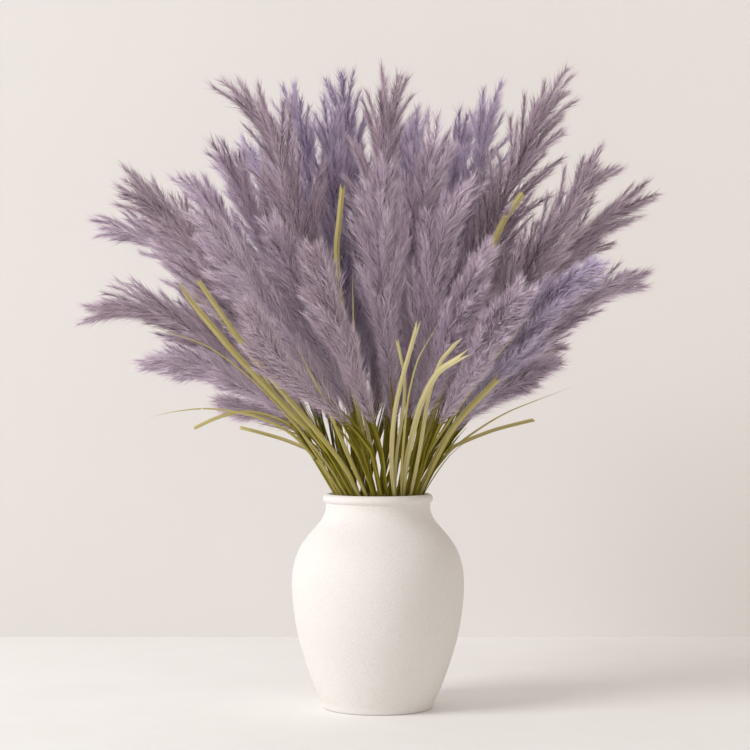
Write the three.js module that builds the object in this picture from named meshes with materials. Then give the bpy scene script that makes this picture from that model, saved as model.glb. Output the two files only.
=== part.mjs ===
// Bundle of pampas grass standing in a bisque vase.
// Millimetres, +Z up. The origin is the middle of the vase's foot, and the front faces -Y.
import * as THREE from 'three';
import { mergeVertices } from 'three/addons/utils/BufferGeometryUtils.js';

// ---- Vase ----
const VASE_HEIGHT = 250;
const FOOT_RADIUS = 62;
const FOOT_ROUNDING = 3;
const NECK_RADIUS = 61;
const WALL = 7;
const FLOOR = 9;
const BEAD_RADIUS = 5.4; // section of the rolled rim
const VASE_SIDES = 40;
// Outside of the body from above the foot to under the rim: radius, height
const VASE_OUTLINE = [
  [67, 9], [75.5, 28], [88, 65], [96.5, 99], [101, 141],
  [98, 169], [88, 193], [69.5, 215], [62, 228], [61, 238],
];

// ---- How the stems stand ----
// Every stem is straight up to BASE_HEIGHT. They pass each other in a spiral, as in a hand-held
// bunch. A stem's place at height z is its own place, taken as a complex number, times
// TURN_RATE * (z - WAIST_HEIGHT) + i * TWIST.
const TWIST = 0.5; // how far the bunch closes at its waist
const TURN_RATE = 0.0125; // per millimetre
const WAIST_HEIGHT = 179;
const BASE_HEIGHT = 308; // the plumes begin about here
const SPREAD_X = 0.165; // place in the bunch per millimetre of the tip's place
const SPREAD_Y = 0.235;
const BUNCH_RADIUS = 50;
const CHANNEL_RADIUS = 17; // kept free in the middle
const STEM_SPACING = 8.6;
const STEM_RADIUS = 1.6;
const STEM_TO_WALL = 5; // least gap at a stem's foot
const SPREAD_ROUNDS = 400;

// ---- Plumes ----
const CORE_RADIUS = 17; // the dense middle of a plume, without its loose hairs
const CORE_SHARE = 0.45; // of the distance to the next stalk or blade
const CORE_GAP = 0.2; // kept between a core and its share's edge
const STALK_SIDES = 6;
const PLUME_STEPS = 11;
const PLUME_FROM = 3 / 5; // of the stalk's curve: the fourth of its six points
const NEIGHBOUR_STEPS = [-0.9, -0.6, -0.3, 0, 0.3, 0.6, 0.9]; // looked at around each ring

// ---- Blades ----
const BLADE_THICKNESS = 0.8;
const BLADE_FOOT_WIDTH = 2.6;
const BLADE_FREE = BASE_HEIGHT - 20; // height where a blade leaves the stems
const BLADE_START = 206; // height of the lower end, inside the vase
const BLADE_STEPS = 9;

// Each stalk: where its tip is, and where the plume passes half way up.
const STALKS = [
  { tip: [-230, 95, 360], middle: [-165, 68, 352] },
  { tip: [-295, -30, 405], middle: [-200, -25, 395] },
  { tip: [-350, -5, 460], middle: [-245, 5, 455] },
  { tip: [-345, 60, 575], middle: [-240, 50, 530] },
  { tip: [-290, -90, 620], middle: [-200, -65, 520] },
  { tip: [-250, 160, 645], middle: [-180, 118, 555] },
  { tip: [-205, 45, 675], middle: [-150, 35, 585] },
  { tip: [-170, 190, 690], middle: [-120, 140, 590] },
  { tip: [-185, -35, 740], middle: [-115, -25, 640] },
  { tip: [-115, 125, 755], middle: [-85, 90, 640] },
  { tip: [-65, 5, 720], middle: [-50, 5, 620] },
  { tip: [-50, 75, 760], middle: [-35, 60, 650] },
  { tip: [30, -40, 745], middle: [5, -28, 640] },
  { tip: [35, 165, 725], middle: [20, 120, 620] },
  { tip: [45, 45, 705], middle: [40, 35, 610] },
  { tip: [70, -80, 685], middle: [50, -60, 580] },
  { tip: [110, 125, 715], middle: [85, 95, 600] },
  { tip: [135, 55, 740], middle: [120, 45, 630] },
  { tip: [215, -20, 745], middle: [150, -15, 600] },
  { tip: [270, -80, 650], middle: [195, -58, 545] },
  { tip: [325, 60, 615], middle: [225, 48, 535] },
  { tip: [250, -165, 525], middle: [180, -115, 455] },
  { tip: [325, 0, 505], middle: [225, -5, 465] },
  { tip: [240, -60, 420], middle: [170, -50, 392] },
  { tip: [245, 115, 440], middle: [175, 85, 405] },
  { tip: [165, -225, 505], middle: [120, -155, 430] },
  { tip: [125, -190, 545], middle: [88, -135, 455] },
  { tip: [105, -145, 610], middle: [65, -100, 515] },
  { tip: [10, -130, 635], middle: [5, -100, 525] },
  { tip: [-125, -135, 580], middle: [-80, -100, 470] },
  { tip: [-145, -210, 485], middle: [-105, -145, 405] },
  { tip: [-195, -170, 575], middle: [-130, -120, 475] },
  { tip: [-70, -190, 550], middle: [-50, -140, 460] },
  // on the far side
  { tip: [-120, 225, 560], middle: [-85, 165, 475] },
  { tip: [-20, 240, 590], middle: [-15, 175, 495] },
  { tip: [90, 225, 575], middle: [65, 165, 480] },
  { tip: [190, 180, 570], middle: [135, 130, 480] },
  { tip: [15, 235, 455], middle: [12, 165, 415] },
];

// Each blade: its width, and the places it passes from half way up to its tip.
const BLADES = [
  { width: 8, points: [[-145, -100, 415], [-200, -140, 495]] },
  { width: 10, points: [[-150, -85, 400], [-225, -120, 490]] },
  { width: 4, points: [[-175, -45, 445], [-255, -60, 520]] },
  { width: 4, points: [[-175, -75, 410], [-275, -100, 450]] },
  { width: 5, points: [[-115, -20, 330], [-200, -25, 350], [-265, -30, 340]] },
  { width: 6, points: [[-105, 20, 330], [-165, 30, 345], [-220, 40, 325]] },
  { width: 6, points: [[-110, 65, 310], [-170, 110, 325]] },
  { width: 7, points: [[-60, -120, 360], [-90, -155, 420]] },
  { width: 9, points: [[-47, -50, 509], [-40, -60, 609]] },
  { width: 7, points: [[-25, -85, 400], [-29, -95, 505]] },
  { width: 7, points: [[20, -110, 355], [45, -150, 450]] },
  { width: 4, points: [[40, -150, 395], [65, -185, 445]] },
  { width: 6, points: [[65, -135, 395], [90, -165, 430]] },
  { width: 9, points: [[60, -165, 385], [100, -220, 415]] },
  { width: 10, points: [[88, -66, 332], [138, -98, 388]] },
  { width: 4, points: [[140, -20, 340], [225, -30, 375]] },
  { width: 6, points: [[130, 50, 320], [190, 80, 335]] },
  { width: 10, points: [[136, -50, 549], [166, -55, 598]] },
  { width: 4, points: [[125, -120, 400], [165, -160, 450]] },
  { width: 6, points: [[-60, 130, 380], [-110, 190, 440]] },
  { width: 5, points: [[30, -108, 378], [20, -140, 430]] },
];

// ---- Places in the bunch ----

// A stalk stands in line with its tip.
function stalkPlace({ tip: [x, y] }) {
  return new THREE.Vector2(x * SPREAD_X, y * SPREAD_Y);
}

// A blade stands where a straight stem would have to, to pass its first point.
function bladePlace({ points: [[x, y, z]] }) {
  const grow = TURN_RATE * (z - WAIST_HEIGHT);
  const size = grow ** 2 + TWIST ** 2;
  return new THREE.Vector2((x * grow + y * TWIST) / size, (y * grow - x * TWIST) / size);
}

// Pushes stems that are too close apart, and keeps them in the mouth and out of the middle.
function spreadOut(places) {
  for (let round = 0; round < SPREAD_ROUNDS; round += 1) {
    for (const a of places) {
      for (const b of places) {
        const gap = a.distanceTo(b);
        if (a === b || gap >= STEM_SPACING) continue;
        const push = a.clone().sub(b).normalize().multiplyScalar((STEM_SPACING - gap) / 2);
        a.add(push);
        b.sub(push);
      }
      a.clampLength(CHANNEL_RADIUS, BUNCH_RADIUS);
    }
  }
  return places;
}

function stemAt(place, height) {
  const grow = TURN_RATE * (height - WAIST_HEIGHT);
  return new THREE.Vector3(
    place.x * grow - place.y * TWIST,
    place.x * TWIST + place.y * grow,
    height,
  );
}

// ---- Shapes ----

// Closes a row of rings into one solid. The first ring gets a flat end, and the last one too
// unless a tip point is given.
function loft(rings, tip) {
  const sides = rings[0].length;
  const positions = rings.flat().flatMap((p) => [p.x, p.y, p.z]);
  const index = [];
  for (let r = 0; r + 1 < rings.length; r += 1) {
    for (let s = 0; s < sides; s += 1) {
      const a = r * sides + s;
      const b = r * sides + ((s + 1) % sides);
      index.push(a, b, b + sides, a, b + sides, a + sides);
    }
  }
  for (let s = 1; s + 1 < sides; s += 1) index.push(0, s + 1, s);
  const last = (rings.length - 1) * sides;
  if (tip) {
    positions.push(tip.x, tip.y, tip.z);
    const end = rings.length * sides;
    for (let s = 0; s < sides; s += 1) index.push(last + s, last + ((s + 1) % sides), end);
  } else {
    for (let s = 1; s + 1 < sides; s += 1) index.push(last, last + s, last + s + 1);
  }
  const geometry = new THREE.BufferGeometry();
  geometry.setAttribute('position', new THREE.Float32BufferAttribute(positions, 3));
  geometry.setIndex(index);
  geometry.computeVertexNormals();
  return geometry;
}

function circle(centre, normal, binormal, radius, sides) {
  return Array.from({ length: sides }, (_, s) => {
    const angle = (2 * Math.PI * s) / sides;
    return centre.clone()
      .addScaledVector(normal, radius * Math.cos(angle))
      .addScaledVector(binormal, radius * Math.sin(angle));
  });
}

// ---- Vase ----

function vaseOutline() {
  return new THREE.SplineCurve(VASE_OUTLINE.map(([r, z]) => new THREE.Vector2(r, z)));
}

function vaseInnerRadius(height) {
  const points = vaseOutline().getPoints(60);
  const above = points.findIndex((p) => p.y >= height);
  return points[Math.max(above, 0)].x - WALL;
}

function vaseGeometry() {
  const outside = vaseOutline();
  const bead = new THREE.Path();
  const beadHeight = VASE_HEIGHT - BEAD_RADIUS;
  bead.absarc(NECK_RADIUS - 2, beadHeight, BEAD_RADIUS, -0.35 * Math.PI, 0.95 * Math.PI, false);
  const inside = outside.getPoints(11).reverse().slice(0, -1);
  const profile = [
    new THREE.Vector2(0, 0),
    new THREE.Vector2(FOOT_RADIUS, 0),
    new THREE.Vector2(FOOT_RADIUS + FOOT_ROUNDING * 0.7, FOOT_ROUNDING * 0.5),
    ...outside.getPoints(14),
    ...bead.getPoints(8),
    ...inside.map((p) => new THREE.Vector2(p.x - WALL, Math.max(p.y, FLOOR + 3))),
    new THREE.Vector2(FOOT_RADIUS - WALL, FLOOR),
    new THREE.Vector2(0, FLOOR),
  ];
  const geometry = new THREE.LatheGeometry(profile, VASE_SIDES);
  geometry.rotateX(Math.PI / 2);
  geometry.deleteAttribute('normal');
  geometry.deleteAttribute('uv');
  const merged = mergeVertices(geometry, 0.001);
  merged.computeVertexNormals();
  return merged;
}

// ---- Stalks ----

// The lowest point a stem reaches: the floor of the vase, or where it leans on the wall.
function footHeight(place) {
  let height = FLOOR + 3;
  const clearance = STEM_RADIUS + STEM_TO_WALL;
  while (stemAt(place, height).setZ(0).length() > vaseInnerRadius(height) - clearance) height += 2;
  return height;
}

function stalkCurve(stalk, place) {
  const foot = footHeight(place);
  return new THREE.CatmullRomCurve3([
    stemAt(place, foot),
    stemAt(place, WAIST_HEIGHT),
    stemAt(place, VASE_HEIGHT),
    stemAt(place, BASE_HEIGHT),
    new THREE.Vector3(...stalk.middle),
    new THREE.Vector3(...stalk.tip),
  ], false, 'centripetal');
}

// Width of the plume's core along its length, as a share of the fullest place.
function plumeShape(u) {
  return Math.min(1, 1.75 * u ** 0.75 * (1 - u) ** 0.62);
}

// The core stays thin enough for its neighbours over the whole stretch around a ring.
function stalkGeometry(curve, nearest) {
  const step = (1 - PLUME_FROM) / PLUME_STEPS;
  const stemSteps = [0, 0.2, 0.4, PLUME_FROM - step];
  const plumeSteps = Array.from({ length: PLUME_STEPS }, (_, i) => PLUME_FROM + step * i);
  const sideways = curve.computeFrenetFrames(2, false).normals[0];
  const rings = [...stemSteps, ...plumeSteps].map((t) => {
    const tangent = curve.getTangent(t);
    const across = sideways.clone().addScaledVector(tangent, -sideways.dot(tangent)).normalize();
    const up = tangent.clone().cross(across);
    const gaps = NEIGHBOUR_STEPS.map((shift) => (
      nearest(curve.getPoint(THREE.MathUtils.clamp(t + shift * step, 0, 1)))
    ));
    const room = CORE_SHARE * Math.min(...gaps) - CORE_GAP;
    const full = CORE_RADIUS * plumeShape(Math.max(0, (t - PLUME_FROM) / (1 - PLUME_FROM)));
    const radius = Math.max(STEM_RADIUS, Math.min(full, room));
    return circle(curve.getPoint(t), across, up, radius, STALK_SIDES);
  });
  return loft(rings, curve.getPoint(1));
}

// ---- Blades ----

function bladeCurve(blade, place) {
  return new THREE.CatmullRomCurve3([
    stemAt(place, BLADE_START),
    stemAt(place, VASE_HEIGHT),
    stemAt(place, BLADE_FREE),
    ...blade.points.map((p) => new THREE.Vector3(...p)),
  ], false, 'centripetal');
}

// A blade is narrow where it leaves the bunch and tapers a little at its tip.
function bladeWidth(width, t) {
  const opening = THREE.MathUtils.smoothstep(t, 0.35, 0.75);
  const taper = 1 - 0.45 * THREE.MathUtils.smoothstep(t, 0.85, 1);
  return THREE.MathUtils.lerp(BLADE_FOOT_WIDTH, width, opening) * taper;
}

// The flat of a blade faces the front.
function bladeGeometry(blade, curve) {
  const front = new THREE.Vector3(0, -1, 0);
  const rings = [];
  for (let i = 0; i <= BLADE_STEPS; i += 1) {
    const t = i / BLADE_STEPS;
    const centre = curve.getPoint(t);
    const tangent = curve.getTangent(t);
    const across = tangent.clone().cross(front).normalize();
    const face = across.clone().cross(tangent);
    const half = bladeWidth(blade.width, t) / 2;
    rings.push([[-1, 1], [1, 1], [1, -1], [-1, -1]].map(([a, f]) => centre.clone()
      .addScaledVector(across, a * half)
      .addScaledVector(face, (f * BLADE_THICKNESS) / 2)));
  }
  return loft(rings);
}

// ---- Materials ----

function bisque() {
  return new THREE.MeshStandardMaterial({ color: '#f1ebe6', roughness: 0.85, metalness: 0 });
}

function plumeFluff() {
  return new THREE.MeshStandardMaterial({ color: '#8f8096', roughness: 0.9, metalness: 0 });
}

function dryBlade() {
  return new THREE.MeshStandardMaterial({ color: '#b5aa5c', roughness: 0.7, metalness: 0 });
}

// ---- The bundle ----

function named(name, geometry, material) {
  const mesh = new THREE.Mesh(geometry, material);
  mesh.name = name;
  return mesh;
}

const places = spreadOut([...STALKS.map(stalkPlace), ...BLADES.map(bladePlace)]);
const curves = [
  ...STALKS.map((stalk, i) => stalkCurve(stalk, places[i])),
  ...BLADES.map((blade, i) => bladeCurve(blade, places[STALKS.length + i])),
];
const traces = curves.map((curve) => curve.getPoints(110));

// Distance from a point on curve number own to the nearest other stalk or blade.
function distanceToOthers(own, point) {
  let nearest = Infinity;
  traces.forEach((trace, other) => {
    if (other === own) return;
    for (const p of trace) nearest = Math.min(nearest, p.distanceTo(point));
  });
  return nearest;
}

function number(i) {
  return String(i + 1).padStart(2, '0');
}

const bundle = new THREE.Group();
bundle.add(named('vase', vaseGeometry(), bisque()));
STALKS.forEach((stalk, i) => {
  const geometry = stalkGeometry(curves[i], (point) => distanceToOthers(i, point));
  bundle.add(named(`stalk_${number(i)}`, geometry, plumeFluff()));
});
BLADES.forEach((blade, i) => {
  const geometry = bladeGeometry(blade, curves[STALKS.length + i]);
  bundle.add(named(`blade_${number(i)}`, geometry, dryBlade()));
});

export default bundle;
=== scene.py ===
"""Bundle of pampas grass standing in a bisque vase. Metres, +Z up, the front faces -Y."""

import math
import random

import bmesh
import bpy
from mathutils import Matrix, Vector


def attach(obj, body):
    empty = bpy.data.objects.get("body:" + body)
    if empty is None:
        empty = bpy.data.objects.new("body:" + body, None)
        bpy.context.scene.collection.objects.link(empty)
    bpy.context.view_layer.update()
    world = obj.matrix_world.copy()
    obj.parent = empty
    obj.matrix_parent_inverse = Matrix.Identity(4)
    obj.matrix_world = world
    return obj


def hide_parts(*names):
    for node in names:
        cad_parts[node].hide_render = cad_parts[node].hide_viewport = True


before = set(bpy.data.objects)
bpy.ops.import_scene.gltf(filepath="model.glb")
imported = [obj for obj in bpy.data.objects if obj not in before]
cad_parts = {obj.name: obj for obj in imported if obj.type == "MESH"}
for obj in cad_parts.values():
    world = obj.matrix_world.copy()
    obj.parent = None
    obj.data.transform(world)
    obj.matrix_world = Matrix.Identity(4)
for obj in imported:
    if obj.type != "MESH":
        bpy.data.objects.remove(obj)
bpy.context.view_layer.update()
scene = bpy.context.scene
MM = 0.001


# ---- Camera ----
# A long lens looks level at the bundle, so that upright lines stay upright and the vase's mouth
# is seen from just above its rim.

CAMERA_PLACE = (-3.5 * MM, -2459 * MM, 388.8 * MM)
LENS = 100.8

camera = bpy.data.objects.new("camera", bpy.data.cameras.new("camera"))
camera.data.lens = LENS
camera.data.sensor_width = 36
camera.location = CAMERA_PLACE
camera.rotation_euler = (math.radians(90), 0, 0)
scene.collection.objects.link(camera)
scene.camera = camera


# ---- Room ----
# A plain plaster wall and a pale polished screed floor. They are stage, and not part of the bundle.
# The floor runs on behind the wall and the wall is clear from its back, for a look from behind.

WALL_BEHIND = 657 * MM
ROOM_HALF = 3.2


def linear(hex_colour):
    """An sRGB hex colour as the linear RGBA that shader sockets take."""
    channels = [int(hex_colour[i:i + 2], 16) / 255 for i in (1, 3, 5)]
    return (*[c / 12.92 if c <= 0.04045 else ((c + 0.055) / 1.055) ** 2.4 for c in channels], 1)


def add_node(tree, kind, values=None):
    """Adds a node. A value is for a property, for a colour ramp's stops, or for an input: a constant,
    another node's output, or a whole node, which stands for its first output."""
    node = tree.nodes.new(kind)
    for name, value in (values or {}).items():
        if isinstance(value, bpy.types.Node):
            value = value.outputs[0]
        if name == "stops":
            low, high = node.color_ramp.elements
            low.position, low.color = value[0][0], linear(value[0][1])
            high.position, high.color = value[-1][0], linear(value[-1][1])
            for place, colour in value[1:-1]:
                node.color_ramp.elements.new(place).color = linear(colour)
        elif isinstance(name, str) and hasattr(node, name):
            setattr(node, name, value)
        elif isinstance(value, bpy.types.NodeSocket):
            tree.links.new(value, node.inputs[name])
        else:
            node.inputs[name].default_value = value
    return node


def new_material(name, finish):
    """A material with one Principled shader. Returns the material, its tree and the shader."""
    material = bpy.data.materials.new(name)
    material.use_nodes = True
    tree = material.node_tree
    tree.nodes.clear()
    shader = add_node(tree, "ShaderNodeBsdfPrincipled", finish)
    add_node(tree, "ShaderNodeOutputMaterial", {"Surface": shader})
    return material, tree, shader


def stage_sheet(name, corners, material):
    mesh = bpy.data.meshes.new(name)
    mesh.from_pydata(corners, [], [(0, 1, 2, 3)])
    mesh.materials.append(material)
    sheet = bpy.data.objects.new(name, mesh)
    scene.collection.objects.link(sheet)


def plaster():
    """Painted plaster: matt, in broad uneven patches a few hundred millimetres wide, and painted paler
    to the right as painted light, where less of the window's light falls. Its back is clear."""
    material, tree, shader = new_material("painted_plaster", {"Roughness": 0.95, "IOR": 1.45})
    place = add_node(tree, "ShaderNodeTexCoord").outputs["Object"]
    patches = add_node(tree, "ShaderNodeTexNoise", {"Scale": 2.2, "Detail": 3.0, "Vector": place})
    axes = add_node(tree, "ShaderNodeSeparateXYZ", {"Vector": place})
    # painted light: the patches plus a rise along X, so the wall is painted paler to the right, where less of
    # the window's light reaches it
    mottled_and_painted_light = add_node(tree, "ShaderNodeMath", {"operation": "MULTIPLY_ADD", 0: patches, 1: 0.5,
                                                2: axes.outputs["X"]})
    paler = add_node(tree, "ShaderNodeMapRange", {"From Min": -0.35, "From Max": 0.85, "Value": mottled_and_painted_light})
    tone = add_node(tree, "ShaderNodeMix", {"data_type": "RGBA", "Factor": paler,
                                            6: linear("#e5e2e0"), 7: linear("#f4f0ed")})
    tree.links.new(tone.outputs[2], shader.inputs["Base Color"])
    side = add_node(tree, "ShaderNodeNewGeometry")
    clear = add_node(tree, "ShaderNodeBsdfTransparent")
    one_way = add_node(tree, "ShaderNodeMixShader", {0: side.outputs["Backfacing"], 1: shader, 2: clear})
    tree.links.new(one_way.outputs[0], tree.nodes["Material Output"].inputs["Surface"])
    return material


def screed():
    """Pale polished screed: soft clouds of tone, a faint sheen and no pattern."""
    material, tree, shader = new_material("polished_screed", {"Roughness": 0.6, "IOR": 1.45})
    place = add_node(tree, "ShaderNodeTexCoord").outputs["Object"]
    clouds = add_node(tree, "ShaderNodeTexNoise", {"Scale": 7.0, "Detail": 6.0, "Roughness": 0.68,
                                                   "Vector": place})
    tone = add_node(tree, "ShaderNodeMix", {"data_type": "RGBA", "Factor": clouds,
                                            6: linear("#eceae8"), 7: linear("#f7f6f5")})
    tree.links.new(tone.outputs[2], shader.inputs["Base Color"])
    return material


stage_sheet("floor", [(-ROOM_HALF, -ROOM_HALF, 0), (ROOM_HALF, -ROOM_HALF, 0),
                      (ROOM_HALF, ROOM_HALF, 0), (-ROOM_HALF, ROOM_HALF, 0)], screed())
stage_sheet("wall", [(-ROOM_HALF, WALL_BEHIND, 0), (ROOM_HALF, WALL_BEHIND, 0),
                     (ROOM_HALF, WALL_BEHIND, 2 * ROOM_HALF), (-ROOM_HALF, WALL_BEHIND, 2 * ROOM_HALF)],
            plaster())


# ---- Light ----
# One large soft window to the left and a little in front, and a bright pale room all round.

WINDOW_PLACE = Vector((-4.0, -2.3, 3.3))
WINDOW_AIM = Vector((0, 0, 0.35))
WINDOW_SIZE = (2.5, 2.5)
WINDOW_POWER = 193
ROOM_STRENGTH = 0.63

glass = bpy.data.lights.new("window", "AREA")
glass.shape = "RECTANGLE"
glass.size, glass.size_y = WINDOW_SIZE
glass.energy = WINDOW_POWER
glass.color = linear("#fdfeff")[:3]
window = bpy.data.objects.new("window", glass)
window.location = WINDOW_PLACE
window.rotation_euler = (WINDOW_AIM - WINDOW_PLACE).to_track_quat("-Z", "Y").to_euler()
scene.collection.objects.link(window)

world = bpy.data.worlds.new("room_light")
scene.world = world
world.use_nodes = True
world.node_tree.nodes["Background"].inputs["Color"].default_value = linear("#f7efe8")
world.node_tree.nodes["Background"].inputs["Strength"].default_value = ROOM_STRENGTH
scene.view_settings.view_transform = "Standard"


# ---- Vase ----
# A shouldered jar, thrown or cast in white clay, fired once and left unglazed. The rim is rolled
# over into a round bead and the foot is flat. Nothing fixes the grass in it.

VASE_TALL = 250 * MM
VASE_SIDES = 120
VASE_REACH = 0.1 * MM     # narrower than the foot, so that its middle is the first ring
VASE_FINE = 4             # steps drawn between two rings of the frame
BISQUE_WAVER = 0.25 * MM  # how far the wall strays from round, between the foot and the rim
WAVER_TWIST = 9           # radians that the waver turns on its way up
WELD = 0.01 * MM          # corners of the frame closer than this are one


def rings_of(node, reach):
    """The rings of points that a lofted or turned CAD node is made of, from its lowest point on."""
    shell = bmesh.new()
    shell.from_mesh(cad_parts[node].data)
    bmesh.ops.remove_doubles(shell, verts=shell.verts, dist=WELD)
    lowest = min(shell.verts, key=lambda v: (v.co.z, v.co.xy.length))
    ring = [v for v in shell.verts if (v.co - lowest.co).length < reach]
    seen = set(ring)
    rings = []
    while ring:
        rings.append([v.co.copy() for v in ring])
        ring = list({e.other_vert(v) for v in ring for e in v.link_edges} - seen)
        seen.update(ring)
    shell.free()
    return rings


def smooth_line(points, steps):
    """A smooth curve through the points, with this many steps between two of them."""
    line = []
    for i in range(len(points) - 1):
        a, b = points[i], points[i + 1]
        before = points[i - 1] if i else a * 2 - b
        after = points[i + 2] if i + 2 < len(points) else b * 2 - a
        for k in range(steps):
            t = k / steps
            line.append(0.5 * (2 * a + (b - before) * t + (2 * before - 5 * a + 4 * b - after) * t ** 2
                               + (3 * a - before - 3 * b + after) * t ** 3))
    return line + [points[-1]]


def new_piece(name, mesh, material, node):
    """Puts a finished mesh in the scene as a piece of one material that stands for a CAD node."""
    mesh.materials.clear()
    mesh.materials.append(material)
    piece = bpy.data.objects.new(name, mesh)
    scene.collection.objects.link(piece)
    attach(piece, "root")
    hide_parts(node)


def bisque():
    """White bisque clay: matt and chalky, with a fine sandy grain and a few darker specks of grit."""
    material, tree, shader = new_material("white_bisque_clay", {"Roughness": 0.88, "IOR": 1.5,
                                                                "Specular IOR Level": 0.3})
    place = add_node(tree, "ShaderNodeTexCoord").outputs["Object"]
    grain = add_node(tree, "ShaderNodeTexNoise", {"Scale": 850.0, "Detail": 2.0, "Roughness": 0.6,
                                                  "Vector": place})  # grit of 1 mm, coarser than real
    clouds = add_node(tree, "ShaderNodeTexNoise", {"Scale": 14.0, "Detail": 3.0, "Roughness": 0.5,
                                                   "Vector": place})  # 70 mm patches, hardly seen
    blend = add_node(tree, "ShaderNodeMath", {"operation": "MULTIPLY_ADD", 0: clouds, 1: 0.16, 2: grain})
    tone = add_node(tree, "ShaderNodeValToRGB", {
        "Fac": blend, "stops": [(0.36, "#dfdad6"), (0.5, "#e8e4e0"), (0.78, "#f1efec")]})
    bump = add_node(tree, "ShaderNodeBump", {"Strength": 0.35, "Distance": 0.3 * MM, "Height": grain})
    tree.links.new(tone.outputs["Color"], shader.inputs["Base Color"])
    tree.links.new(bump.outputs["Normal"], shader.inputs["Normal"])
    return material


def turned_vase():
    """Turns the frame's outline, drawn finer, about the upright axis, with a little waver."""
    outline = [Vector((max(p.xy.length for p in ring), 0, sum(p.z for p in ring) / len(ring)))
               for ring in rings_of("vase", VASE_REACH)]
    foot, wall, floor = outline[0], outline[1:-1], outline[-1]
    mesh = bmesh.new()
    bottom = mesh.verts.new(foot)
    rows = []
    for p in smooth_line(wall, VASE_FINE):
        up = p.z / VASE_TALL
        waver = BISQUE_WAVER * math.sin(math.pi * min(1, up))
        row = []
        for s in range(VASE_SIDES):
            angle = 2 * math.pi * s / VASE_SIDES
            radius = p.x + waver * math.sin(2 * angle + WAVER_TWIST * up)
            row.append(mesh.verts.new((radius * math.cos(angle), radius * math.sin(angle), p.z)))
        rows.append(row)
    top = mesh.verts.new(floor)
    for s in range(VASE_SIDES):
        t = (s + 1) % VASE_SIDES
        mesh.faces.new((bottom, rows[0][t], rows[0][s]))
        for low, high in zip(rows, rows[1:]):
            mesh.faces.new((low[s], low[t], high[t], high[s]))
        mesh.faces.new((rows[-1][s], rows[-1][t], top))
    bmesh.ops.recalc_face_normals(mesh, faces=mesh.faces)
    for face in mesh.faces:
        face.smooth = True
    data = bpy.data.meshes.new("vase_body")
    mesh.to_mesh(data)
    mesh.free()
    return data


new_piece("vase_body", turned_vase(), bisque(), "vase")


# ---- Stems ----
# Each stalk has a thin round cane with slightly swollen joints, olive with straw coloured streaks.
# Narrow leaf sheaths of the same colours grow on it and open along the foot of the plume.

STALKS = sorted(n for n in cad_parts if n.startswith("stalk_"))
STALK_REACH = 4 * MM      # wider than a cane, so that its lowest ring is found whole
LINE_FINE = 8             # steps drawn between two rings of a stalk or blade
CANE_STEPS = 60
CANE_SIDES = 8
CANE_STEP = 5 * MM
CANE_MAP = 0.3            # the cane's share of the colour map's width
JOINT_SPACING = 78 * MM
JOINT_SWELL = 0.28
STEM_INTO_PLUME = 80 * MM
SHEATH_WIDTH = (2.5 * MM, 4.6 * MM)
SHEATH_LENGTH = (90 * MM, 165 * MM)
SHEATH_LEAN = (3 * MM, 16 * MM)  # how far the free end stands off the cane
SHEATH_OFF = 1.9 * MM     # how far the held end stands off the cane's middle
SHEATH_HEIGHTS = ((215 * MM, 230 * MM), (222 * MM, 245 * MM), (236 * MM, 262 * MM),
                  (250 * MM, 290 * MM), (275 * MM, 320 * MM))
SHEATH_MAP = 0.35         # where the first sheath's strip of the colour map starts
SHEATH_PITCH = 0.13       # from one sheath's strip to the next
SHEATH_STRIP = 0.12       # the width of a strip
BLADE_ACROSS = 6          # strips across a blade
BLADE_STEP = 8 * MM
BLADE_THICK = 0.42 * MM
FOLD = 0.14               # how far a blade is folded, as a share of its width
TIP_CUTS = {              # how deep the end is cut at each place across, and how raggedly
    "blunt": (lambda s: 0, 0.012),
    "notched": (lambda s: 0.022 * (1 - abs(s)), 0.006),
    "split": (lambda s: 0.07 * (1 - abs(s)) ** 0.8, 0.012),
    "torn": (lambda s: 0.06 * max(0, s + 0.2), 0.018),
}
MATHS = "ShaderNodeMath"
NAMED = "GeometryNodeInputNamedAttribute"
STORE = "GeometryNodeStoreNamedAttribute"


def centre(ring):
    return sum(ring, Vector()) / len(ring)


def lengths_along(line):
    total = [0.0]
    for a, b in zip(line, line[1:]):
        total.append(total[-1] + (b - a).length)
    return total


def point_at(line, along, distance):
    """The point and direction at a distance along a line."""
    distance = min(max(distance, 0), along[-1])
    i = next((k for k in range(1, len(along)) if along[k] >= distance), len(along) - 1)
    share = (distance - along[i - 1]) / max(along[i] - along[i - 1], 1e-9)
    return line[i - 1].lerp(line[i], share), (line[i] - line[i - 1]).normalized()


def stalk_lines():
    """Each stalk's centreline, the distance along it at which its plume begins, and its cane's radius."""
    lines = {}
    for node in STALKS:
        rings = rings_of(node, STALK_REACH)
        line = smooth_line([centre(r) for r in rings], LINE_FINE)
        widths = [max((p - centre(r)).length for p in r) for r in rings]
        first = next(i for i, w in enumerate(widths) if w > 1.3 * widths[0])
        lines[node] = (line, lengths_along(line)[LINE_FINE * (first - 1)], widths[0])
    return lines


def new_tree(name, inputs):
    """A Geometry Nodes tree with a geometry in and out and the named inputs, and its input node."""
    tree = bpy.data.node_groups.new(name, "GeometryNodeTree")
    tree.interface.new_socket("Geometry", in_out="INPUT", socket_type="NodeSocketGeometry")
    tree.interface.new_socket("Geometry", in_out="OUTPUT", socket_type="NodeSocketGeometry")
    for label, kind in inputs.items():
        tree.interface.new_socket(label, in_out="INPUT", socket_type=f"NodeSocket{kind}")
    return tree, add_node(tree, "NodeGroupInput")


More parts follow.
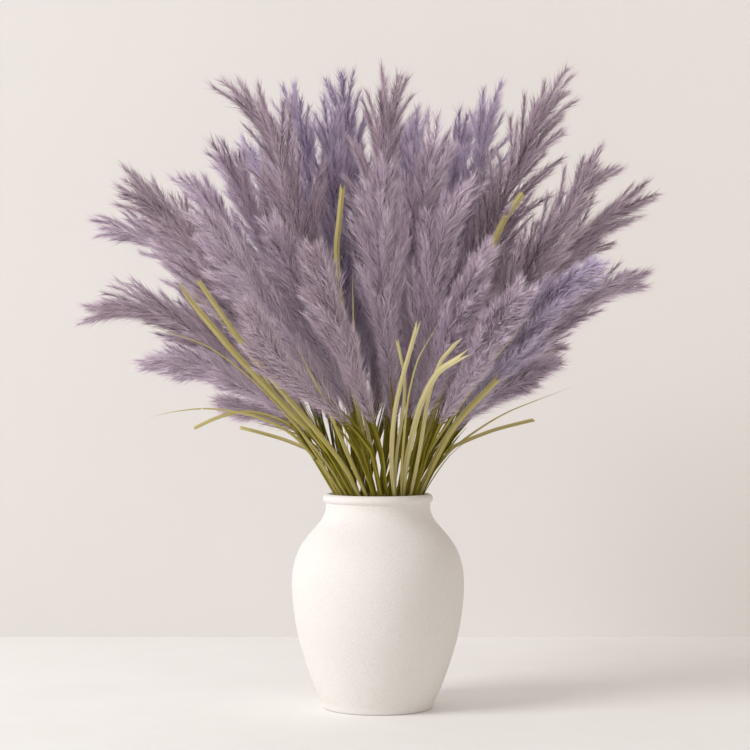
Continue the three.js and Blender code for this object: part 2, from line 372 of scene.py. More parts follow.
def grow(tree, name, line, reach, values):
    """Runs a tree on a line of points, each with a reach, and returns the plain mesh it makes."""
    guide = bpy.data.meshes.new(name)
    guide.from_pydata(line, [(i, i + 1) for i in range(len(line) - 1)], [])
    guide.attributes.new("reach", "FLOAT", "POINT").data.foreach_set("value", reach)
    carrier = bpy.data.objects.new(name, guide)
    scene.collection.objects.link(carrier)
    modifier = carrier.modifiers.new("grow", "NODES")
    modifier.node_group = tree
    for item in tree.interface.items_tree:
        if item.in_out == "INPUT" and item.name in values:
            modifier[item.identifier] = values[item.name]
    graph = bpy.context.evaluated_depsgraph_get()
    mesh = bpy.data.meshes.new_from_object(carrier.evaluated_get(graph), depsgraph=graph)
    bpy.data.objects.remove(carrier)
    bpy.data.meshes.remove(guide)
    mesh.name = name
    return mesh


def cane_tree():
    """Sweeps a round section along the line, as thick as its reach, swollen at each joint."""
    tree, given = new_tree("cane", {"Joint spacing": "Float", "First joint": "Float", "Cane": "Material"})
    named = {name: add_node(tree, NAMED, {"Name": name}) for name in ("reach", "thick", "along", "around")}
    line = add_node(tree, "GeometryNodeMeshToCurve", {"Mesh": given.outputs["Geometry"]})
    kept = add_node(tree, "GeometryNodeResampleCurve", {"mode": "LENGTH", "Curve": line, "Length": CANE_STEP})

    # a joint swells the cane for a few millimetres, halfway along each turn of the spacing
    spot = add_node(tree, "GeometryNodeSplineParameter")
    turns = add_node(tree, MATHS, {"operation": "DIVIDE", 0: spot.outputs["Length"],
                                   1: given.outputs["Joint spacing"]})
    shifted = add_node(tree, MATHS, {"operation": "ADD", 0: turns, 1: given.outputs["First joint"]})
    phase = add_node(tree, MATHS, {"operation": "FRACT", 0: shifted})
    past = add_node(tree, MATHS, {"operation": "SUBTRACT", 0: phase, 1: 0.5})
    far = add_node(tree, MATHS, {"operation": "ABSOLUTE", 0: past})
    near = add_node(tree, MATHS, {"operation": "MULTIPLY_ADD", 0: far, 1: -22.0, 2: 1.0})
    swell = add_node(tree, MATHS, {"operation": "MAXIMUM", 0: 0.0, 1: near})
    swollen = add_node(tree, MATHS, {"operation": "MULTIPLY_ADD", 0: swell, 1: JOINT_SWELL, 2: 1.0})
    thick = add_node(tree, MATHS, {"operation": "MULTIPLY", 0: named["reach"], 1: swollen})
    for name, value in (("along", spot.outputs["Factor"]), ("thick", thick)):
        kept = add_node(tree, STORE, {"Geometry": kept, "Name": name, "Value": value})

    # the round section, and the place of each corner on the colour map
    ring = add_node(tree, "GeometryNodeCurvePrimitiveCircle", {"Resolution": CANE_SIDES, "Radius": 1.0})
    around = add_node(tree, MATHS, {"operation": "DIVIDE", 0: add_node(tree, "GeometryNodeInputIndex"),
                                    1: float(CANE_SIDES)})
    ring = add_node(tree, STORE, {"Geometry": ring, "Name": "around", "Value": around})
    tube = add_node(tree, "GeometryNodeCurveToMesh", {"Curve": kept, "Profile Curve": ring,
                                                      "Scale": named["thick"], "Fill Caps": True})
    across = add_node(tree, MATHS, {"operation": "MULTIPLY", 0: named["around"], 1: CANE_MAP})
    place = add_node(tree, "ShaderNodeCombineXYZ", {"X": across, "Y": named["along"]})
    mapped = add_node(tree, STORE, {"data_type": "FLOAT2", "domain": "CORNER", "Geometry": tube,
                                    "Name": "OFBake", "Value": place})
    real = add_node(tree, "GeometryNodeRealizeInstances", {"Geometry": mapped})
    coated = add_node(tree, "GeometryNodeSetMaterial", {"Geometry": real, "Material": given.outputs["Cane"]})
    add_node(tree, "NodeGroupOutput", {"Geometry": coated})
    return tree


def blade_faces(mesh, uv_layer, line, width, tip, chance, across_from, across_to):
    """Adds one folded blade to a bmesh. tip is pointed, blunt, notched, split or torn.
    line holds (point, side, face) rows from the foot to the tip. The blade narrows to its foot."""
    spans = [k / BLADE_ACROSS * 2 - 1 for k in range(BLADE_ACROSS + 1)]
    cut = [0.0 for _ in spans]
    if tip in TIP_CUTS:
        deep, ragged = TIP_CUTS[tip]
        cut = [deep(s) + chance.uniform(0, ragged) for s in spans]
    steps = len(line) - 1
    grid = []
    for k in range(steps + 1):
        share = k / steps
        spread = width * min(1, 0.35 + 1.2 * share) * (1 - 0.15 * share)
        if tip == "pointed":
            spread *= max(0.03, 1 - max(0, (share - 0.45) / 0.55) ** 1.6)
        row = []
        for c, s in enumerate(spans):
            spot = share * (1 - cut[c] * max(0, share - 0.6) / 0.4) * steps
            i = min(int(spot), steps - 1)
            point = line[i][0].lerp(line[i + 1][0], spot - i)
            side, face = line[i][1], line[i][2]
            fold = (abs(s) - 0.5) * FOLD * spread
            base = point + side * (s * spread / 2) + face * fold
            row.append([mesh.verts.new(base + face * BLADE_THICK / 2 * way) for way in (1, -1)])
        grid.append(row)
    top = {v[0] for row in grid for v in row}
    half = (across_to - across_from) / 2

    def quad(corners, places):
        """A face, and its place on the colour map: the upper side on the left, the lower beside it."""
        made = mesh.faces.new(corners)
        start = across_from if corners[0] in top else across_from + half
        for loop, (c, k) in zip(made.loops, places):
            loop[uv_layer].uv = (start + half * (0.04 + 0.92 * c / BLADE_ACROSS), 0.01 + 0.98 * k / steps)

    for k in range(steps):
        for c in range(BLADE_ACROSS):
            spots = [(c, k), (c + 1, k), (c + 1, k + 1), (c, k + 1)]
            quad([grid[j][i][0] for i, j in spots], spots)
            spots = spots[::-1]
            quad([grid[j][i][1] for i, j in spots], spots)
        for c, order in ((0, 1), (BLADE_ACROSS, -1)):
            edge = [grid[k][c][0], grid[k + 1][c][0], grid[k + 1][c][1], grid[k][c][1]][::order]
            quad(edge, [(c, k), (c, k + 1), (c, k + 1), (c, k)][::order])
    for k, order in ((0, -1), (steps, 1)):
        for c in range(BLADE_ACROSS):
            end = [grid[k][c][0], grid[k][c + 1][0], grid[k][c + 1][1], grid[k][c][1]][::order]
            quad(end, [(c, k), (c + 1, k), (c + 1, k), (c, k)][::order])


def sheath_line(line, along, start, length, lean, heading):
    """The rows of a sheath: it hugs the cane, then leans away from it towards its heading."""
    rows = []
    count = max(6, int(length / BLADE_STEP))
    for k in range(count + 1):
        share = k / count
        spot, direction = point_at(line, along, start + share * length)
        away = (heading - direction * heading.dot(direction)).normalized()
        off = SHEATH_OFF + lean * share ** 2.2
        droop = Vector((0, 0, 0.25 * lean * share ** 3))
        rows.append((spot + away * off - droop, direction.cross(away).normalized(), away))
    return rows


def cane():
    """Dried grass cane: olive, streaked lengthwise, with a waxy half shine."""
    material, tree, shader = new_material("dried_grass_cane", {"Roughness": 0.55, "IOR": 1.45,
                                                                "Specular IOR Level": 0.25})
    place = add_node(tree, "ShaderNodeUVMap", {"uv_map": "OFBake"})
    stretch = add_node(tree, "ShaderNodeMapping", {"Scale": (60.0, 3.0, 1.0), "Vector": place})
    streaks = add_node(tree, "ShaderNodeTexNoise", {"Scale": 1.0, "Detail": 3.0, "Roughness": 0.7,
                                                    "Vector": stretch})
    tone = add_node(tree, "ShaderNodeValToRGB", {
        "Fac": streaks, "stops": [(0.3, "#4a4306"), (0.5, "#7f7619"), (0.72, "#b3a63a")]})
    bump = add_node(tree, "ShaderNodeBump", {"Strength": 0.4, "Distance": 0.2 * MM, "Height": streaks})
    tree.links.new(tone.outputs["Color"], shader.inputs["Base Color"])
    tree.links.new(bump.outputs["Normal"], shader.inputs["Normal"])
    return material


LINES = stalk_lines()
CANE = cane()
CANE_TREE = cane_tree()
for number, node in enumerate(STALKS, 1):
    line, plume_start, radius = LINES[node]
    along = lengths_along(line)
    chance = random.Random(100 + number)
    shares = [k / CANE_STEPS for k in range(CANE_STEPS + 1)]
    cane_points = [point_at(line, along, (plume_start + STEM_INTO_PLUME) * s)[0] for s in shares]
    slim = [radius * (1.12 - 0.5 * max(0, s - 0.8) / 0.2) for s in shares]
    mesh = grow(CANE_TREE, f"stem_{number:02d}", cane_points, slim,
                {"Joint spacing": JOINT_SPACING, "First joint": chance.random(), "Cane": CANE})
    work = bmesh.new()
    work.from_mesh(mesh)
    layer = work.loops.layers.uv["OFBake"]
    for s, heights in enumerate(SHEATH_HEIGHTS):
        height = chance.uniform(*heights)
        start = next(d for p, d in zip(line, along) if p.z >= height)
        length = chance.uniform(*SHEATH_LENGTH)
        turn = chance.uniform(0, 2 * math.pi)
        heading = Vector((math.cos(turn), math.sin(turn), 0))
        rows = sheath_line(line, along, start, length, chance.uniform(*SHEATH_LEAN), heading)
        strip = SHEATH_MAP + SHEATH_PITCH * s
        blade_faces(work, layer, rows, chance.uniform(*SHEATH_WIDTH), "pointed", chance,
                    strip, strip + SHEATH_STRIP)
        chance.choice(range(5))  # passed over, so that the next sheath keeps its own draws
    bmesh.ops.recalc_face_normals(work, faces=work.faces)
    work.to_mesh(mesh)
    work.free()
    new_piece(f"stem_{number:02d}", mesh, CANE, node)


# ---- Plumes ----
# The flower head of each stalk: a thin rachis, branchlets that leave it at a sharp angle and sweep
# towards its tip, and fine silky hairs all along them. It is dyed mauve, with darker ribs, and each hair
# is painted darker at its root: painted shade for the shade deep in the plume near the rachis.

PLUME_STEPS = 48
PLUME_RISE = (18 * MM, 34 * MM)  # how far above the frame's core the lowest branchlet is
PLUME_TIP_LEFT = 68 * MM      # the topmost branchlets reach this far past the rachis
PLUME_WIDTH_SHARE = 0.11      # how far branchlets lean out, as a share of the rachis's length
FULL_SPAN = 250 * MM          # a plume shorter than this has shorter branchlets
BRANCHLETS = 62
BRANCHLET_LENGTH = 125 * MM
BRANCHLET_STEPS = 12
TIP_SHORTER = -0.46           # how much shorter the topmost branchlets are than the lowest
BRANCHLET_SAG = -0.11         # share of its length by which a branchlet's end hangs
BRANCHLET_WANDER = 22 * MM    # how far a branchlet's end strays from its curve
SPIRAL_TURN = math.radians(137.5)  # from one branchlet to the next
SIDE_BIAS = -0.26             # radians by which branchlets crowd towards the sides
HAIR_SPACING = 0.6 * MM
HAIR_LENGTH = 28 * MM
HAIR_THICKNESS = 0.5 * MM     # radius of the base, drawn several times as thick as a real hair
HAIR_SWEEP = (0.72, -0.32)    # how far hairs stand off a branchlet's foot, and its loss on the way
HAIR_FADE = -0.42             # how much shorter hairs are at a branchlet's end
SHARED_TONE = 0.38            # the share of a hair's tone that its branchlet sets
FLATTENING = 0.65             # how much fewer hairs stand towards and away from the rachis
BRANCHLET_RIB = (0.75 * MM, -0.5 * MM)   # radius at the foot, and how much it loses on the way
RACHIS_RIB = (1.3 * MM, -0.9 * MM)
COLUMNS = 16.0                # strips of the colour map, one for each stretch of the plume
RIB_BAND = 0.1                # the ribs' share of the colour map's height, below the hairs
VECTORS = "ShaderNodeVectorMath"
CHANCE = "FunctionNodeRandomValue"


def plume_tree():
    """Grows branchlets in a spiral on the line, and hairs on the branchlets and the line."""
    tree, given = new_tree("plume", {
        "Branchlets": "Int", "Branchlet length": "Float", "Hair spacing": "Float", "Hair length": "Float",
        "Hair thickness": "Float", "Front": "Vector", "Seed": "Int", "Fluff": "Material"})
    numbers = ("reach", "height", "lot", "span", "open", "step", "across", "along")
    named = {name: add_node(tree, NAMED, {"Name": name}) for name in numbers}
    for name in ("root", "axis", "outward"):
        named[name] = add_node(tree, NAMED, {"data_type": "FLOAT_VECTOR", "Name": name})
    chances = {}
    for name, shift, low, high in (
            ("turn", 1, -0.5, 0.5), ("lot", 2, 0, 1), ("span", 3, 0.78, 1.15), ("open", 4, 0.45, 1.15),
            ("hair length", 12, 0.6, 1.2), ("hair lot", 13, 0, 0.62), ("sweep", 14, 0.45, 1.3)):
        seed = add_node(tree, MATHS, {"operation": "ADD", 0: given.outputs["Seed"], 1: shift})
        chances[name] = add_node(tree, CHANCE, {"Seed": seed, 2: low, 3: high}).outputs[1]
    place = add_node(tree, "GeometryNodeInputPosition")
    index = add_node(tree, "GeometryNodeInputIndex")

    # the rachis
    rachis = add_node(tree, "GeometryNodeMeshToCurve", {"Mesh": given.outputs["Geometry"]})
    step = add_node(tree, "GeometryNodeSplineParameter").outputs["Factor"]
    rachis = add_node(tree, STORE, {"Geometry": rachis, "Name": "height", "Value": step})

    # where each branchlet leaves it, and which way: more of them at the sides than at the front
    roots = add_node(tree, "GeometryNodeCurveToPoints", {"mode": "COUNT", "Curve": rachis,
                                                         "Count": given.outputs["Branchlets"]})
    tangent = roots.outputs["Tangent"]
    turn = add_node(tree, MATHS, {"operation": "MULTIPLY_ADD", 0: index, 1: SPIRAL_TURN, 2: chances["turn"]})
    twice = add_node(tree, MATHS, {"operation": "MULTIPLY", 0: turn, 1: 2.0})
    crowd = add_node(tree, MATHS, {"operation": "SINE", 0: twice})
    sided = add_node(tree, MATHS, {"operation": "MULTIPLY_ADD", 0: crowd, 1: SIDE_BIAS, 2: turn})
    cosine = add_node(tree, MATHS, {"operation": "COSINE", 0: sided})
    sine = add_node(tree, MATHS, {"operation": "SINE", 0: sided})
    square = add_node(tree, VECTORS, {"operation": "CROSS_PRODUCT", 0: tangent, 1: given.outputs["Front"]})
    sideways = add_node(tree, VECTORS, {"operation": "NORMALIZE", 0: square})
    forward = add_node(tree, VECTORS, {"operation": "CROSS_PRODUCT", 0: sideways, 1: tangent})
    outward = add_node(tree, VECTORS, {"operation": "SCALE", 0: sideways, "Scale": cosine})
    outward = add_node(tree, VECTORS, {"operation": "MULTIPLY_ADD", 0: forward, 1: sine, 2: outward})
    points = roots.outputs["Points"]
    for name, kind, value in (
            ("root", "FLOAT_VECTOR", place), ("axis", "FLOAT_VECTOR", tangent),
            ("outward", "FLOAT_VECTOR", outward), ("lot", "FLOAT", chances["lot"]),
            ("span", "FLOAT", chances["span"]), ("open", "FLOAT", chances["open"])):
        points = add_node(tree, STORE, {"data_type": kind, "Geometry": points, "Name": name, "Value": value})

    # branchlets: a line for each, bent from outward to along the rachis, half as long at the tip
    line = add_node(tree, "GeometryNodeCurvePrimitiveLine", {"End": (0, 0, 1)})
    fine = add_node(tree, "GeometryNodeResampleCurve", {"mode": "COUNT", "Curve": line,
                                                        "Count": BRANCHLET_STEPS})
    set_out = add_node(tree, "GeometryNodeInstanceOnPoints", {"Points": points, "Instance": fine})
    branchlets = add_node(tree, "GeometryNodeRealizeInstances", {"Geometry": set_out})
    high = add_node(tree, MATHS, {"operation": "POWER", 0: named["height"], 1: 1.5})
    taper = add_node(tree, MATHS, {"operation": "MULTIPLY_ADD", 0: high, 1: TIP_SHORTER, 2: 1.0})
    own = add_node(tree, MATHS, {"operation": "MULTIPLY", 0: taper, 1: named["span"]})
    length = add_node(tree, MATHS, {"operation": "MULTIPLY", 0: given.outputs["Branchlet length"], 1: own})
    up_by = add_node(tree, MATHS, {"operation": "MULTIPLY", 0: step, 1: length})
    opening = add_node(tree, MATHS, {"operation": "POWER", 0: step, 1: 1.25})
    widest = add_node(tree, MATHS, {"operation": "MULTIPLY", 0: named["reach"], 1: named["open"]})
    out_by = add_node(tree, MATHS, {"operation": "MULTIPLY", 0: opening, 1: widest})
    curl = add_node(tree, MATHS, {"operation": "POWER", 0: step, 1: 2.0})
    hang = add_node(tree, MATHS, {"operation": "MULTIPLY", 0: length, 1: BRANCHLET_SAG})
    drop = add_node(tree, MATHS, {"operation": "MULTIPLY", 0: curl, 1: hang})
    spot = add_node(tree, VECTORS, {"operation": "MULTIPLY_ADD", 0: named["axis"], 1: up_by,
                                    2: named["root"]})
    spot = add_node(tree, VECTORS, {"operation": "MULTIPLY_ADD", 0: named["outward"], 1: out_by, 2: spot})
    sag = add_node(tree, "ShaderNodeCombineXYZ", {"Z": drop})
    spot = add_node(tree, VECTORS, {"operation": "ADD", 0: spot, 1: sag})
    bent = add_node(tree, "GeometryNodeSetPosition", {"Geometry": branchlets, "Position": spot})
    wander = add_node(tree, "ShaderNodeTexNoise", {"Scale": 9.0, "Detail": 1.0})
    stray = add_node(tree, VECTORS, {"operation": "SUBTRACT", 0: wander.outputs["Color"], 1: (0.5, 0.5, 0.5)})
    loose = add_node(tree, MATHS, {"operation": "POWER", 0: step, 1: 1.2})
    far = add_node(tree, MATHS, {"operation": "MULTIPLY", 0: loose, 1: BRANCHLET_WANDER})
    wobble = add_node(tree, VECTORS, {"operation": "SCALE", 0: stray, "Scale": far})
    strayed = add_node(tree, "GeometryNodeSetPosition", {"Geometry": bent, "Offset": wobble})
    branchlets = add_node(tree, STORE, {"Geometry": strayed, "Name": "step", "Value": step})

    # a hair: a three-sided spike of height 1
    hair = add_node(tree, "GeometryNodeMeshCone", {"fill_type": "NGON", "Vertices": 3, "Radius Top": 0.0,
                                                   "Radius Bottom": 1.0, "Depth": 1.0})
    shape = add_node(tree, "ShaderNodeSeparateXYZ", {"Vector": place})
    across = add_node(tree, MATHS, {"operation": "MULTIPLY_ADD", 0: shape.outputs["X"], 1: 0.5, 2: 0.5})
    for name, value in (("along", shape.outputs["Z"]), ("across", across)):
        hair = add_node(tree, STORE, {"Geometry": hair, "Name": name, "Value": value})

    # hairs on the branchlets and the rachis, swept forward, most of them to the sides of the
    # feather, and shorter towards its end
    bearers = add_node(tree, "GeometryNodeJoinGeometry")
    hairy_rachis = add_node(tree, STORE, {"Geometry": rachis, "Name": "step", "Value": step})
    for part in (branchlets, hairy_rachis):
        tree.links.new(part.outputs[0], bearers.inputs[0])
    seats = add_node(tree, "GeometryNodeCurveToPoints", {"mode": "LENGTH", "Curve": bearers,
                                                         "Length": given.outputs["Hair spacing"]})
    ahead = seats.outputs["Tangent"]
    seed = add_node(tree, MATHS, {"operation": "ADD", 0: given.outputs["Seed"], 1: 11})
    any_way = add_node(tree, CHANCE, {"data_type": "FLOAT_VECTOR", "Seed": seed,
                                      0: (-1, -1, -1), 1: (1, 1, 1)})
    facing = add_node(tree, VECTORS, {"operation": "DOT_PRODUCT", 0: any_way, 1: named["outward"]})
    excess = add_node(tree, MATHS, {"operation": "MULTIPLY", 0: facing.outputs["Value"], 1: FLATTENING})
    excess = add_node(tree, VECTORS, {"operation": "SCALE", 0: named["outward"], "Scale": excess})
    flat = add_node(tree, VECTORS, {"operation": "SUBTRACT", 0: any_way, 1: excess})
    lengthwise = add_node(tree, VECTORS, {"operation": "DOT_PRODUCT", 0: flat, 1: ahead})
    excess = add_node(tree, VECTORS, {"operation": "SCALE", 0: ahead, "Scale": lengthwise.outputs["Value"]})
    aside = add_node(tree, VECTORS, {"operation": "SUBTRACT", 0: flat, 1: excess})
    aside = add_node(tree, VECTORS, {"operation": "NORMALIZE", 0: aside})
    tighter = add_node(tree, MATHS, {"operation": "MULTIPLY_ADD", 0: named["step"], 1: HAIR_SWEEP[1],
                                     2: HAIR_SWEEP[0]})
    sweep = add_node(tree, MATHS, {"operation": "MULTIPLY", 0: tighter, 1: chances["sweep"]})
    course = add_node(tree, VECTORS, {"operation": "MULTIPLY_ADD", 0: aside, 1: sweep, 2: ahead})
    turned = add_node(tree, "FunctionNodeAlignRotationToVector", {"axis": "Z", "Vector": course})
    rising = add_node(tree, MATHS, {"operation": "MULTIPLY_ADD", 0: named["step"], 1: 3.0, 2: 0.45})
    rising = add_node(tree, MATHS, {"operation": "MINIMUM", 0: 1.0, 1: rising})
    falling = add_node(tree, MATHS, {"operation": "POWER", 0: named["step"], 1: 2.0})
    falling = add_node(tree, MATHS, {"operation": "MULTIPLY_ADD", 0: falling, 1: HAIR_FADE, 2: 1.0})
    share = add_node(tree, MATHS, {"operation": "MULTIPLY", 0: rising, 1: falling})
    longest = add_node(tree, MATHS, {"operation": "MULTIPLY", 0: given.outputs["Hair length"],
                                     1: chances["hair length"]})
    size = add_node(tree, MATHS, {"operation": "MULTIPLY", 0: share, 1: longest})
    scale = add_node(tree, "ShaderNodeCombineXYZ", {"X": given.outputs["Hair thickness"],
                                                    "Y": given.outputs["Hair thickness"], "Z": size})
    own_lot = add_node(tree, MATHS, {"operation": "MULTIPLY_ADD", 0: named["lot"], 1: SHARED_TONE,
                                     2: chances["hair lot"]})
    seated = add_node(tree, STORE, {"Geometry": seats.outputs["Points"], "Name": "lot", "Value": own_lot})
    coat = add_node(tree, "GeometryNodeInstanceOnPoints", {"Points": seated, "Instance": hair,
                                                           "Rotation": turned, "Scale": scale})

    # the ribs of the branchlets and of the rachis, drawn below the hairs on the colour map
    ring = add_node(tree, "GeometryNodeCurvePrimitiveCircle", {"Resolution": 3, "Radius": 1.0})
    around = add_node(tree, MATHS, {"operation": "DIVIDE", 0: index, 1: 3.0})
    ring = add_node(tree, STORE, {"Geometry": ring, "Name": "across", "Value": around})
    ribs = []
    for bearer, (foot, loss), band, rise, floor in ((branchlets, BRANCHLET_RIB, "step", 0.0, -0.04),
                                                    (rachis, RACHIS_RIB, "height", 0.09, -0.105)):
        slim = add_node(tree, MATHS, {"operation": "MULTIPLY_ADD", 0: named[band], 1: loss, 2: foot})
        tube = add_node(tree, "GeometryNodeCurveToMesh", {"Curve": bearer, "Profile Curve": ring,
                                                          "Scale": slim, "Fill Caps": True})
        along = add_node(tree, MATHS, {"operation": "MULTIPLY_ADD", 0: named[band], 1: rise, 2: floor})
        ribs.append(add_node(tree, STORE, {"Geometry": tube, "Name": "along", "Value": along}))

    # everything together, with its place on the colour map
    joined = add_node(tree, "GeometryNodeJoinGeometry")
    for part in (coat, *ribs):
        tree.links.new(part.outputs[0], joined.inputs[0])
    real = add_node(tree, "GeometryNodeRealizeInstances", {"Geometry": joined})
    below = add_node(tree, MATHS, {"operation": "MINIMUM", 0: named["height"], 1: 0.999})
    column = add_node(tree, MATHS, {"operation": "MULTIPLY", 0: below, 1: COLUMNS})
    column = add_node(tree, MATHS, {"operation": "FLOOR", 0: column})
    inset = add_node(tree, MATHS, {"operation": "MULTIPLY_ADD", 0: named["across"], 1: 0.08, 2: 0.04})
    inside = add_node(tree, MATHS, {"operation": "MULTIPLY_ADD", 0: named["lot"], 1: 0.84, 2: inset})
    right = add_node(tree, MATHS, {"operation": "ADD", 0: column, 1: inside})
    right = add_node(tree, MATHS, {"operation": "DIVIDE", 0: right, 1: COLUMNS})
    up = add_node(tree, MATHS, {"operation": "MULTIPLY_ADD", 0: named["along"], 1: 0.88, 2: 0.105})
    spot = add_node(tree, "ShaderNodeCombineXYZ", {"X": right, "Y": up})
    bare = add_node(tree, STORE, {"data_type": "FLOAT2", "domain": "CORNER", "Geometry": real,
                                  "Name": "OFBake", "Value": spot})
    for spare in named:
        bare = add_node(tree, "GeometryNodeRemoveAttribute", {"Geometry": bare, "Name": spare})
    coated = add_node(tree, "GeometryNodeSetMaterial", {"Geometry": bare, "Material": given.outputs["Fluff"]})
    add_node(tree, "NodeGroupOutput", {"Geometry": coated})
    return tree


def fluff(name, shade, body, light, rib):
    """Dyed grass hair: matt with a soft silky sheen, and no two hairs alike. Each hair is painted darker
    at its root and paler at its tip: painted shade for the shade deep in the plume. The lowest tenth of
    the colour map is the ribs, golden at the foot of the rachis."""
    material, tree, shader = new_material(name, {"Roughness": 0.72, "IOR": 1.45, "Sheen Weight": 0.25,
                                                 "Sheen Roughness": 0.5})
    place = add_node(tree, "ShaderNodeUVMap", {"uv_map": "OFBake"})
    axes = add_node(tree, "ShaderNodeSeparateXYZ", {"Vector": place})
    up = axes.outputs["Y"]
    column = add_node(tree, MATHS, {"operation": "MULTIPLY", 0: axes.outputs["X"], 1: COLUMNS})
    lot = add_node(tree, MATHS, {"operation": "FRACT", 0: column})
    # painted shade: each hair is darker towards its root, for the shade deep in the plume; the lot is tone
    # that differs at random
    painted_root_shade = add_node(tree, MATHS, {"operation": "MULTIPLY", 0: up, 1: 0.45})
    mixed = add_node(tree, MATHS, {"operation": "MULTIPLY_ADD", 0: lot, 1: 0.55, 2: painted_root_shade})
    tone = add_node(tree, "ShaderNodeValToRGB", {
        "Fac": mixed, "stops": [(0.16, shade), (0.5, body), (0.8, light)]})
    gilt = add_node(tree, "ShaderNodeValToRGB", {"Fac": up, "stops": [(0.02, "#a08a4c"), (0.055, rib)]})
    is_hair = add_node(tree, MATHS, {"operation": "GREATER_THAN", 0: up, 1: RIB_BAND})
    both = add_node(tree, "ShaderNodeMix", {"data_type": "RGBA", "Factor": is_hair, 6: gilt, 7: tone})
    tree.links.new(both.outputs[2], shader.inputs["Base Color"])
    return material


def plume_reach(share):
    """Half width along a plume: quick to open, full to past the middle, and drawn in to the tip."""
    return (0.2 + 0.8 * min(1, share / 0.3)) * (1 - 0.66 * max(0, (share - 0.58) / 0.42) ** 1.5)


MAUVE_FLUFF = fluff("mauve_grass_hair", "#6d5b6a", "#d9c6da", "#fff7ff", "#54404a")
VIOLET_FLUFF = fluff("violet_grass_hair", "#71627d", "#d6c7e2", "#fcf5ff", "#554560")
HEATHER_FLUFF = fluff("heather_grass_hair", "#6a5864", "#cfbccb", "#faeef8", "#523e42")
VIOLET = (8, 10, 11, 12, 15, 17, 18, 22)
HEATHER = (1, 3, 5, 9, 13, 19, 20, 21, 25, 31, 33)
BEHIND = 30 * MM          # plumes whose middle is further back than this face the back
PLUME_TREE = plume_tree()
for number, node in enumerate(STALKS, 1):
    line, plume_start, _ = LINES[node]
    along = lengths_along(line)
    lowest = plume_start + random.Random(900 + number).uniform(*PLUME_RISE)
    span = along[-1] - PLUME_TIP_LEFT - lowest
    shares = [k / PLUME_STEPS for k in range(PLUME_STEPS + 1)]
    points = [point_at(line, along, lowest + span * s)[0] for s in shares]
    reach = [span * PLUME_WIDTH_SHARE * plume_reach(s) for s in shares]
    dye = VIOLET_FLUFF if number in VIOLET else HEATHER_FLUFF if number in HEATHER else MAUVE_FLUFF
    front = (0, -1 if points[PLUME_STEPS // 2].y < BEHIND else 1, 0.15)
    mesh = grow(PLUME_TREE, f"plume_{number:02d}", points, reach, {
        "Branchlets": BRANCHLETS, "Branchlet length": BRANCHLET_LENGTH * min(1, span / FULL_SPAN),
        "Hair spacing": HAIR_SPACING * 1, "Hair length": HAIR_LENGTH,
        "Hair thickness": HAIR_THICKNESS, "Front": front, "Seed": number, "Fluff": dye})
    new_piece(f"plume_{number:02d}", mesh, dye, node)


# ---- Blades ----
# Loose leaves of the grass, dried pale yellow green. Each is folded along its middle and was cut,
# split or torn at the end, or still has its point. Its foot is held between the stems.

BLADES = sorted(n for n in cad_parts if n.startswith("blade_"))
BLADE_REACH = 3 * MM
BLADE_FILL = 0.82         # the blade's width as a share of the frame's
TIPS = ["blunt", "torn", "pointed", "pointed", "pointed", "blunt", "blunt", "pointed", "notched", "pointed",
        "notched", "pointed", "torn", "split", "notched", "pointed", "blunt", "blunt", "pointed", "blunt",
        "notched"]
PALE = (10, 11, 13, 14, 21)


def blade_line(node):
    """Rows of (point, side, face) along a CAD blade, and its full width."""
    rings = rings_of(node, BLADE_REACH)
    sides = []
    for ring in rings:
        first = ring[0]
        others = sorted(ring[1:], key=lambda p: (p - first).length)
        side = others[1] - first
        if sides and side.dot(sides[-1]) < 0:
            side = -side
        sides.append(side)
    line = smooth_line([centre(r) for r in rings], LINE_FINE)
    broad = smooth_line(sides, LINE_FINE)
    rows = []
    for i, point in enumerate(line):
        direction = (line[min(i + 1, len(line) - 1)] - line[max(i - 1, 0)]).normalized()
        side = (broad[i] - direction * broad[i].dot(direction)).normalized()
        face = side.cross(direction)
        if face.z < 0:
            side, face = -side, -face
        rows.append((point, side, face))
    return rows, BLADE_FILL * max(s.length for s in sides)


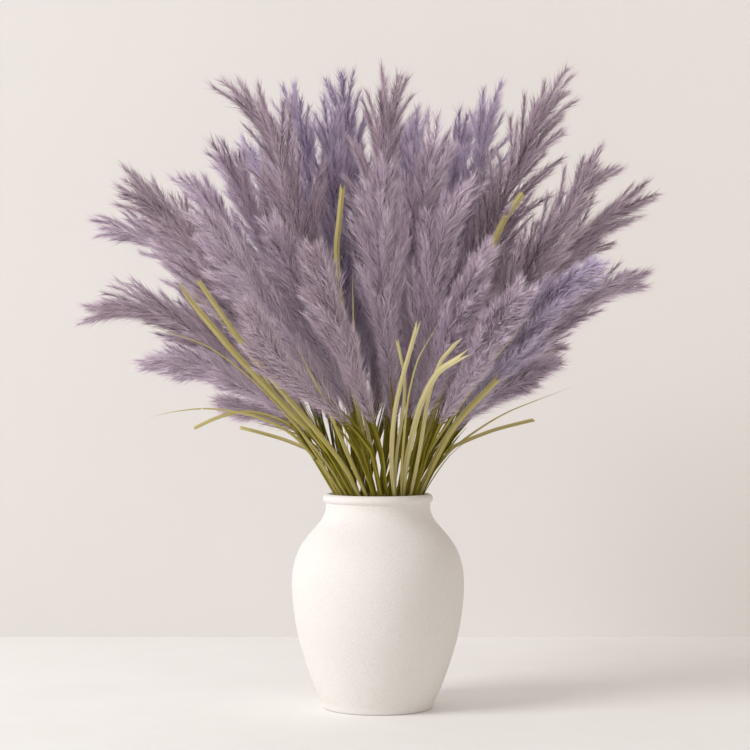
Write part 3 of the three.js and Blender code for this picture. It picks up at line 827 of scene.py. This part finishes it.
def dry_blade(name, edge, body, vein):
    """Dried grass blade: parallel veins half a millimetre apart, drawn coarser, paler to the tip."""
    material, tree, shader = new_material(name, {"Roughness": 0.58, "IOR": 1.45, "Specular IOR Level": 0.28})
    place = add_node(tree, "ShaderNodeUVMap", {"uv_map": "OFBake"})
    stretch = add_node(tree, "ShaderNodeMapping", {"Scale": (17.0, 1.2, 1.0), "Vector": place})
    axes = add_node(tree, "ShaderNodeSeparateXYZ", {"Vector": place})
    veins = add_node(tree, "ShaderNodeTexNoise", {"Scale": 1.0, "Detail": 2.0, "Roughness": 0.75,
                                                  "Vector": stretch})
    patches = add_node(tree, "ShaderNodeTexNoise", {"Scale": 9.0, "Detail": 2.0, "Vector": place})
    cloudy = add_node(tree, MATHS, {"operation": "MULTIPLY_ADD", 0: patches, 1: 0.3, 2: veins})
    blend = add_node(tree, MATHS, {"operation": "MULTIPLY_ADD", 0: axes.outputs["Y"], 1: 0.22, 2: cloudy})
    tone = add_node(tree, "ShaderNodeValToRGB", {
        "Fac": blend, "stops": [(0.5, vein), (0.7, body), (0.94, edge)]})
    bump = add_node(tree, "ShaderNodeBump", {"Strength": 0.5, "Distance": 0.15 * MM, "Height": veins})
    tree.links.new(tone.outputs["Color"], shader.inputs["Base Color"])
    tree.links.new(bump.outputs["Normal"], shader.inputs["Normal"])
    return material


STRAW = dry_blade("dried_grass_blade", "#cdc18a", "#a89d52", "#716628")
CREAM = dry_blade("bleached_grass_blade", "#d8cfa2", "#bbb077", "#857a3c")
for number, node in enumerate(BLADES, 1):
    rows, width = blade_line(node)
    work = bmesh.new()
    layer = work.loops.layers.uv.new("OFBake")
    blade_faces(work, layer, rows, width, TIPS[number - 1], random.Random(500 + number), 0.0, 1.0)
    bmesh.ops.recalc_face_normals(work, faces=work.faces)
    mesh = bpy.data.meshes.new(f"blade_{number:02d}")
    work.to_mesh(mesh)
    work.free()
    new_piece(f"leaf_{number:02d}", mesh, CREAM if number in PALE else STRAW, node)
